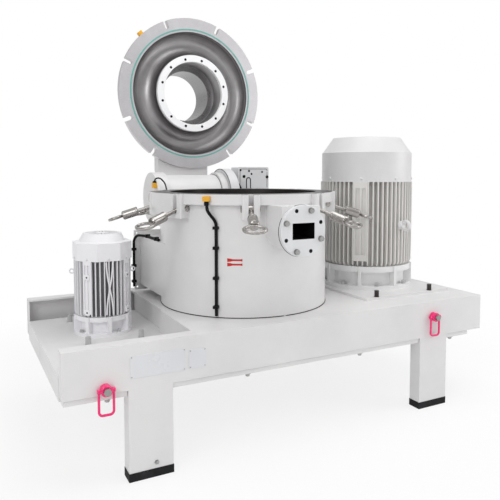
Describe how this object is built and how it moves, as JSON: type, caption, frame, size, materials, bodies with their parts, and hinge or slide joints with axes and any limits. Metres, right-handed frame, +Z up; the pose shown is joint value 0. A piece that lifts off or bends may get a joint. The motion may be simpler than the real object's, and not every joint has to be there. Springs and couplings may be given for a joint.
{
  "type": "air classifying mill",
  "caption": "Vertical grinding mill with hinged clamped lid, swing bolts, feed port, air duct and two finned belt-drive motors on a four-legged base frame.",
  "frame": {"origin": "on the floor, in the middle of the four anchor holes of the feet", "axes": "+X along the frame towards the main motor, +Y from the feed port side to the lid hinge, +Z up"},
  "size_m": [2.4, 1.828, 2.369],
  "materials": {
    "white_paint": "white gloss machine paint",
    "motor_grey": "light grey motor paint",
    "motor_white": "white motor paint",
    "bare_cast": "sanded grey casting",
    "bright_steel": "polished stainless steel",
    "dark_steel": "machined steel",
    "black_rubber": "black rubber",
    "pink_paint": "pink powder coating",
    "seal_green": "turquoise elastomer",
    "sensor_yellow": "yellow plastic",
    "zinc_bolt": "zinc plated steel",
    "hub_white": "white sealing ring"
  },
  "bodies": {
    "frame": {"front_beam": "white_paint", "rear_beam": "white_paint", "cross_beams": "white_paint", "main_deck": "white_paint", "recessed_deck": "white_paint", "legs": "white_paint", "foot_pads": "black_rubber", "bottom_cover": "white_paint", "cover_bolts": "zinc_bolt", "mill_housing": "white_paint", "clamp_flange": "white_paint", "air_duct": "white_paint", "feed_boss": "white_paint", "pivot_pins": "bright_steel", "feed_flange": "white_paint", "feed_bolts": "zinc_bolt", "hinge_brackets": "white_paint", "hinge_drive": "white_paint", "wear_liner": "dark_steel", "bearing_cartridge": "white_paint", "baffle_ring": "bright_steel", "motor_plate": "white_paint", "main_motor": "motor_grey", "main_motor_cowl": "motor_white", "classifier_motor": "motor_white", "classifier_motor_cowl": "motor_white", "terminal_boxes": "motor_white", "motor_bolts": "zinc_bolt", "drive_belts": "black_rubber", "sensors": "sensor_yellow", "sensor_cables": "black_rubber", "cable_clips": "black_rubber"},
    "lid": {"lid": "bare_cast", "hub_ring": "hub_white", "outlet_pipe": "bare_cast", "lid_seal": "seal_green", "lid_arm": "white_paint"},
    "main_motor_drive": {"main_motor_shaft": "dark_steel"},
    "rotor": {"rotor_shaft": "dark_steel", "grinding_rotor": "dark_steel"},
    "classifier_motor_drive": {"classifier_motor_shaft": "dark_steel"},
    "classifier": {"classifier_shaft": "dark_steel", "classifier_wheel": "bright_steel"},
    "swing_bolt_1": {"swing_bolt_1": "bright_steel"},
    "swing_bolt_2": {"swing_bolt_2": "bright_steel"},
    "swing_bolt_3": {"swing_bolt_3": "bright_steel"},
    "swing_bolt_4": {"swing_bolt_4": "bright_steel"},
    "swing_bolt_5": {"swing_bolt_5": "bright_steel"},
    "swing_bolt_6": {"swing_bolt_6": "bright_steel"},
    "swing_bolt_7": {"swing_bolt_7": "bright_steel"},
    "swing_bolt_8": {"swing_bolt_8": "bright_steel"},
    "lifting_swivel_front_left": {"lifting_swivel_front_left": "pink_paint"},
    "lifting_ring_front_left": {"lifting_ring_front_left": "pink_paint"},
    "lifting_swivel_front_right": {"lifting_swivel_front_right": "pink_paint"},
    "lifting_ring_front_right": {"lifting_ring_front_right": "pink_paint"},
    "lifting_swivel_rear_left": {"lifting_swivel_rear_left": "pink_paint"},
    "lifting_ring_rear_left": {"lifting_ring_rear_left": "pink_paint"},
    "lifting_swivel_rear_right": {"lifting_swivel_rear_right": "pink_paint"},
    "lifting_ring_rear_right": {"lifting_ring_rear_right": "pink_paint"}
  },
  "joints": [
    {"name": "lid_hinge", "type": "hinge", "parent": "frame", "child": "lid", "pos_m": [-0.09, 0.7, 1.164], "axis": [1, 0, 0], "range_deg": [0, 90]},
    {"name": "swing_bolt_1_pivot", "type": "hinge", "parent": "frame", "child": "swing_bolt_1", "pos_m": [-0.36761, 0.39647, 1.15], "axis": [0.8192, 0.5736, 0], "range_deg": [0, 108]},
    {"name": "swing_bolt_2_pivot", "type": "hinge", "parent": "frame", "child": "swing_bolt_2", "pos_m": [-0.53716, 0.18522, 1.15], "axis": [0.3827, 0.9239, 0], "range_deg": [0, 108]},
    {"name": "swing_bolt_3_pivot", "type": "hinge", "parent": "frame", "child": "swing_bolt_3", "pos_m": [-0.53716, -0.18522, 1.15], "axis": [-0.3827, 0.9239, 0], "range_deg": [0, 108]},
    {"name": "swing_bolt_4_pivot", "type": "hinge", "parent": "frame", "child": "swing_bolt_4", "pos_m": [-0.27522, -0.44716, 1.15], "axis": [-0.9239, 0.3827, 0], "range_deg": [0, 108]},
    {"name": "swing_bolt_5_pivot", "type": "hinge", "parent": "frame", "child": "swing_bolt_5", "pos_m": [0.09522, -0.44716, 1.15], "axis": [-0.9239, -0.3827, 0], "range_deg": [0, 108]},
    {"name": "swing_bolt_6_pivot", "type": "hinge", "parent": "frame", "child": "swing_bolt_6", "pos_m": [0.35716, -0.18522, 1.15], "axis": [-0.3827, -0.9239, 0], "range_deg": [0, 108]},
    {"name": "swing_bolt_7_pivot", "type": "hinge", "parent": "frame", "child": "swing_bolt_7", "pos_m": [0.35716, 0.18522, 1.15], "axis": [0.3827, -0.9239, 0], "range_deg": [0, 108]},
    {"name": "swing_bolt_8_pivot", "type": "hinge", "parent": "frame", "child": "swing_bolt_8", "pos_m": [0.18761, 0.39647, 1.15], "axis": [0.8192, -0.5736, 0], "range_deg": [0, 108]},
    {"name": "main_motor_spin", "type": "hinge", "parent": "frame", "child": "main_motor_drive", "pos_m": [0.8, 0.005, 1], "axis": [0, 0, 1], "continuous": true},
    {"name": "rotor_spin", "type": "hinge", "parent": "frame", "child": "rotor", "pos_m": [-0.09, 0, 0.9], "axis": [0, 0, 1], "continuous": true},
    {"name": "classifier_motor_spin", "type": "hinge", "parent": "frame", "child": "classifier_motor_drive", "pos_m": [-0.866, 0.129, 0.7], "axis": [0, 0, 1], "continuous": true},
    {"name": "classifier_spin", "type": "hinge", "parent": "frame", "child": "classifier", "pos_m": [-0.09, 0, 0.9], "axis": [0, 0, 1], "continuous": true},
    {"name": "lifting_swivel_front_left_turn", "type": "hinge", "parent": "frame", "child": "lifting_swivel_front_left", "pos_m": [-1.025, -0.575, 0.43], "axis": [0, -1, 0], "continuous": true},
    {"name": "lifting_ring_front_left_swing", "type": "hinge", "parent": "lifting_swivel_front_left", "child": "lifting_ring_front_left", "pos_m": [-1.025, -0.593, 0.43], "axis": [-1, 0, 0], "range_deg": [0, 180]},
    {"name": "lifting_swivel_front_right_turn", "type": "hinge", "parent": "frame", "child": "lifting_swivel_front_right", "pos_m": [0.818, -0.575, 0.52], "axis": [0, -1, 0], "continuous": true},
    {"name": "lifting_ring_front_right_swing", "type": "hinge", "parent": "lifting_swivel_front_right", "child": "lifting_ring_front_right", "pos_m": [0.818, -0.593, 0.52], "axis": [-1, 0, 0], "range_deg": [0, 180]},
    {"name": "lifting_swivel_rear_left_turn", "type": "hinge", "parent": "frame", "child": "lifting_swivel_rear_left", "pos_m": [-1.025, 0.575, 0.43], "axis": [0, 1, 0], "continuous": true},
    {"name": "lifting_ring_rear_left_swing", "type": "hinge", "parent": "lifting_swivel_rear_left", "child": "lifting_ring_rear_left", "pos_m": [-1.025, 0.593, 0.43], "axis": [1, 0, 0], "range_deg": [0, 180]},
    {"name": "lifting_swivel_rear_right_turn", "type": "hinge", "parent": "frame", "child": "lifting_swivel_rear_right", "pos_m": [0.818, 0.575, 0.52], "axis": [0, 1, 0], "continuous": true},
    {"name": "lifting_ring_rear_right_swing", "type": "hinge", "parent": "lifting_swivel_rear_right", "child": "lifting_ring_rear_right", "pos_m": [0.818, 0.593, 0.52], "axis": [1, 0, 0], "range_deg": [0, 180]}
  ],
  "couplings": [
    {"joint": "main_motor_spin", "follows": "rotor_spin", "ratio": 0.70909},
    {"joint": "classifier_motor_spin", "follows": "classifier_spin", "ratio": 1.2581}
  ]
}
